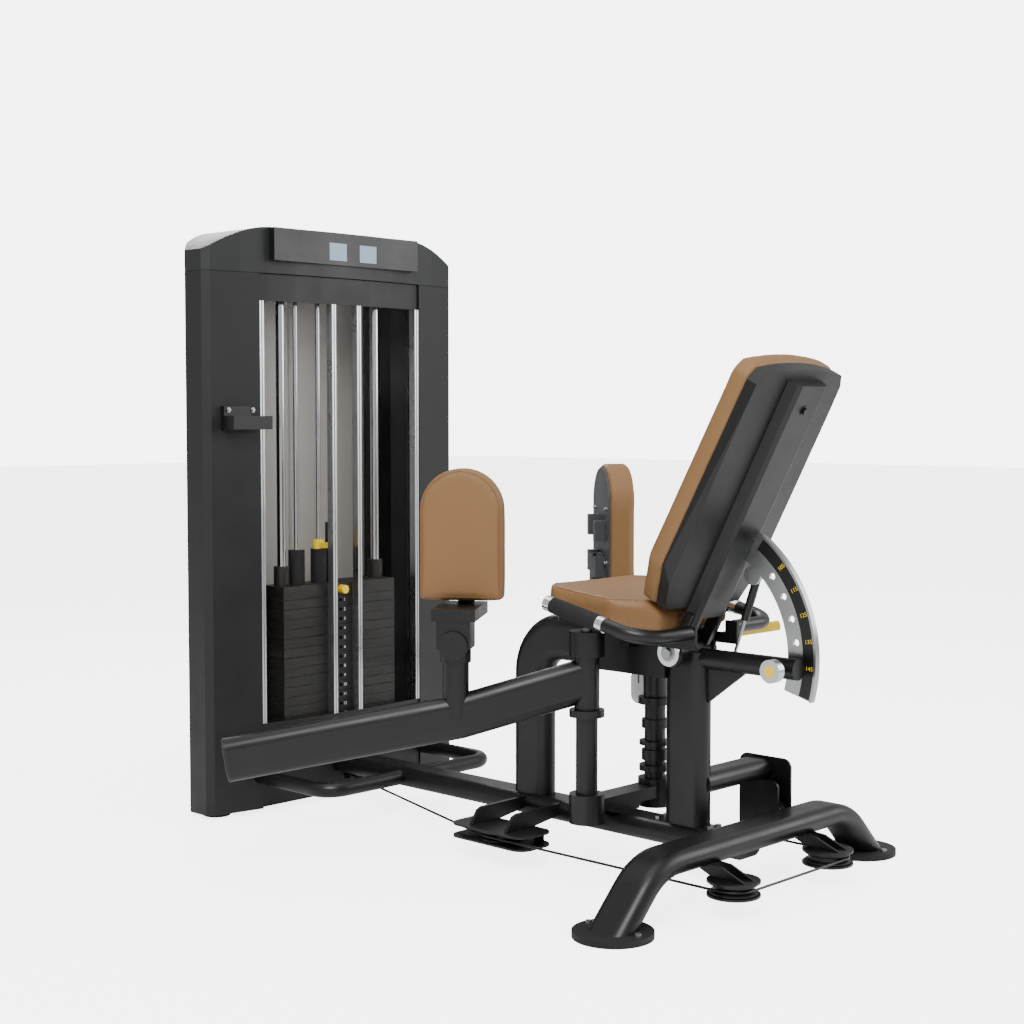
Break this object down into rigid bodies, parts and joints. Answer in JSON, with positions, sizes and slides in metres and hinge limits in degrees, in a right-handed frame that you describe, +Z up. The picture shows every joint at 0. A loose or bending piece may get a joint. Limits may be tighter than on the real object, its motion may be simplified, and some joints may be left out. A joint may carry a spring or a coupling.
{
  "type": "hip abductor machine",
  "caption": "Seated inner and outer thigh machine with swinging padded leg arms, a reclining back and an enclosed weight tower driven by a cable",
  "frame": {"origin": "On the floor at the middle of the machine’s overall length and width", "axes": "+X to the right of the seated user, +Y the way the user faces, towards the tower, +Z up"},
  "size_m": [1.5522, 1.8088, 1.59],
  "materials": {
    "frame_coat": "satin black powder coat",
    "cover_plastic": "textured charcoal moulding",
    "vinyl": "tan coated upholstery",
    "rubber": "matte black rubber",
    "chrome": "polished",
    "aluminium": "clear anodised",
    "steel": "zinc plated",
    "pane": "clear acrylic",
    "shroud": "smoked translucent sheet",
    "iron": "painted dark grey",
    "yellow": "glossy yellow",
    "pad_back": "mid grey sheet",
    "nylon": "black nylon",
    "cable": "black coated wire rope"
  },
  "bodies": {
    "base": {"main_beam": "frame_coat", "rear_foot": "frame_coat", "floor_discs": "rubber", "seat_column": "frame_coat", "curved_upright": "frame_coat", "seat_carrier": "frame_coat", "post_base": "frame_coat", "post_head": "frame_coat", "pivot_posts": "frame_coat", "support_tube": "frame_coat", "front_loop": "frame_coat", "side_outrigger": "frame_coat", "frame_bolts": "steel", "seat_board": "nylon", "seat_cushion": "vinyl", "seat_handles": "frame_coat", "handle_grips": "rubber", "grip_collars": "chrome", "hinge_pin": "chrome", "tower_frame": "frame_coat", "side_covers": "cover_plastic", "header_cover": "cover_plastic", "front_panels": "cover_plastic", "name_plate": "cover_plastic", "front_rails": "aluminium", "front_panes": "pane", "rear_shroud": "shroud", "guide_rods": "chrome", "increment_rods": "chrome", "stack_plates": "iron", "stack_bumpers": "rubber", "bottle_hook": "frame_coat", "pulley_housings": "frame_coat", "drive_cable": "cable"},
    "left_arm": {"left_arm": "frame_coat"},
    "right_arm": {"right_arm": "frame_coat"},
    "left_pad": {"left_swivel": "frame_coat", "left_pad_plate": "pad_back", "left_pad": "vinyl"},
    "right_pad": {"right_swivel": "frame_coat", "right_pad_plate": "pad_back", "right_pad": "vinyl"},
    "back": {"back_frame": "frame_coat", "back_shell": "cover_plastic", "back_cushion": "vinyl", "sector_plate": "steel"},
    "gas_lower": {"gas_rod": "steel"},
    "gas_upper": {"gas_cylinder": "frame_coat"},
    "lock": {"lock_plunger": "aluminium"},
    "range": {"range_lever": "yellow"},
    "stack": {"head_plate": "iron", "increment_weights": "rubber"},
    "increment": {"increment_lever": "yellow"},
    "selector": {"selector_pin": "yellow"},
    "mid_pulley": {"mid_pulley": "nylon"},
    "left_rear_pulley": {"left_rear_pulley": "nylon"},
    "right_rear_pulley": {"right_rear_pulley": "nylon"},
    "side_pulley": {"side_pulley": "nylon"},
    "base_pulley": {"base_pulley": "nylon"},
    "top_pulley": {"top_pulley": "nylon"}
  },
  "joints": [
    {"name": "left_arm_swing", "type": "hinge", "parent": "base", "child": "left_arm", "pos_m": [-0.128, -0.35957, 0.45], "axis": [0, 0, 1], "range_deg": [-38, 0]},
    {"name": "right_arm_swing", "type": "hinge", "parent": "base", "child": "right_arm", "pos_m": [0.128, -0.35957, 0.45], "axis": [0, 0, 1], "range_deg": [0, 38]},
    {"name": "left_pad_swivel", "type": "hinge", "parent": "left_arm", "child": "left_pad", "pos_m": [-0.35837, -0.15213, 0.56], "axis": [0, 0, 1], "range_deg": [0, 180]},
    {"name": "right_pad_swivel", "type": "hinge", "parent": "right_arm", "child": "right_pad", "pos_m": [0.35837, -0.15213, 0.56], "axis": [0, 0, 1], "range_deg": [-180, 0]},
    {"name": "back_recline", "type": "hinge", "parent": "base", "child": "back", "pos_m": [0, -0.55957, 0.536], "axis": [1, 0, 0], "range_deg": [0, 44]},
    {"name": "gas_swing", "type": "hinge", "parent": "base", "child": "gas_lower", "pos_m": [0.06, -0.64857, 0.523], "axis": [1, 0, 0], "range_deg": [0, 58.66]},
    {"name": "gas_stroke", "type": "slide", "parent": "gas_lower", "child": "gas_upper", "axis": [0, -0.3254, 0.9456], "range_m": [-0.0544, 0]},
    {"name": "lock_travel", "type": "slide", "parent": "base", "child": "lock", "axis": [1, 0, 0], "range_m": [0, 0.012]},
    {"name": "range_turn", "type": "hinge", "parent": "base", "child": "range", "pos_m": [0.12, -0.49957, 0.55], "axis": [0, 0, 1], "range_deg": [-12, 0]},
    {"name": "stack_lift", "type": "slide", "parent": "base", "child": "stack", "axis": [0, 0, 1], "range_m": [0, 0.14]},
    {"name": "increment_turn", "type": "hinge", "parent": "stack", "child": "increment", "pos_m": [-0.04, 0.73243, 0.72], "axis": [0, 0, 1], "range_deg": [-60, 0]},
    {"name": "selector_pull", "type": "slide", "parent": "stack", "child": "selector", "axis": [0, -1, 0], "range_m": [0, 0.04]},
    {"name": "mid_turn", "type": "hinge", "parent": "base", "child": "mid_pulley", "pos_m": [-0.19, -0.13557, 0.064], "axis": [0, 0, 1], "range_deg": [0, 172.27]},
    {"name": "left_rear_turn", "type": "hinge", "parent": "base", "child": "left_rear_pulley", "pos_m": [-0.182, -0.83057, 0.064], "axis": [0, 0, 1], "range_deg": [0, 172.27]},
    {"name": "right_rear_turn", "type": "hinge", "parent": "base", "child": "right_rear_pulley", "pos_m": [0.182, -0.83057, 0.064], "axis": [0, 0, 1], "range_deg": [0, 172.27]},
    {"name": "side_turn", "type": "hinge", "parent": "base", "child": "side_pulley", "pos_m": [0.2303, -0.62557, 0.1123], "axis": [1, 0, 0], "range_deg": [0, 172.27]},
    {"name": "base_turn", "type": "hinge", "parent": "base", "child": "base_pulley", "pos_m": [0, 0.83743, 0.1123], "axis": [1, 0, 0], "range_deg": [-172.27, 0]},
    {"name": "top_turn", "type": "hinge", "parent": "base", "child": "top_pulley", "pos_m": [0, 0.80908, 1.49665], "axis": [1, 0, 0], "range_deg": [0, 105.69]}
  ],
  "couplings": [
    {"joint": "right_arm_swing", "follows": "left_arm_swing", "ratio": -1},
    {"joint": "stack_lift", "follows": "left_arm_swing", "m_per_rad": -0.2},
    {"joint": "gas_swing", "follows": "back_recline", "ratio": 1.3104},
    {"joint": "gas_stroke", "follows": "back_recline", "m_per_rad": -0.068185},
    {"joint": "mid_turn", "follows": "left_arm_swing", "ratio": -4.4444},
    {"joint": "left_rear_turn", "follows": "left_arm_swing", "ratio": -4.4444},
    {"joint": "right_rear_turn", "follows": "left_arm_swing", "ratio": -4.4444},
    {"joint": "side_turn", "follows": "left_arm_swing", "ratio": -4.4444},
    {"joint": "base_turn", "follows": "left_arm_swing", "ratio": 4.4444},
    {"joint": "top_turn", "follows": "left_arm_swing", "ratio": -2.7266}
  ]
}
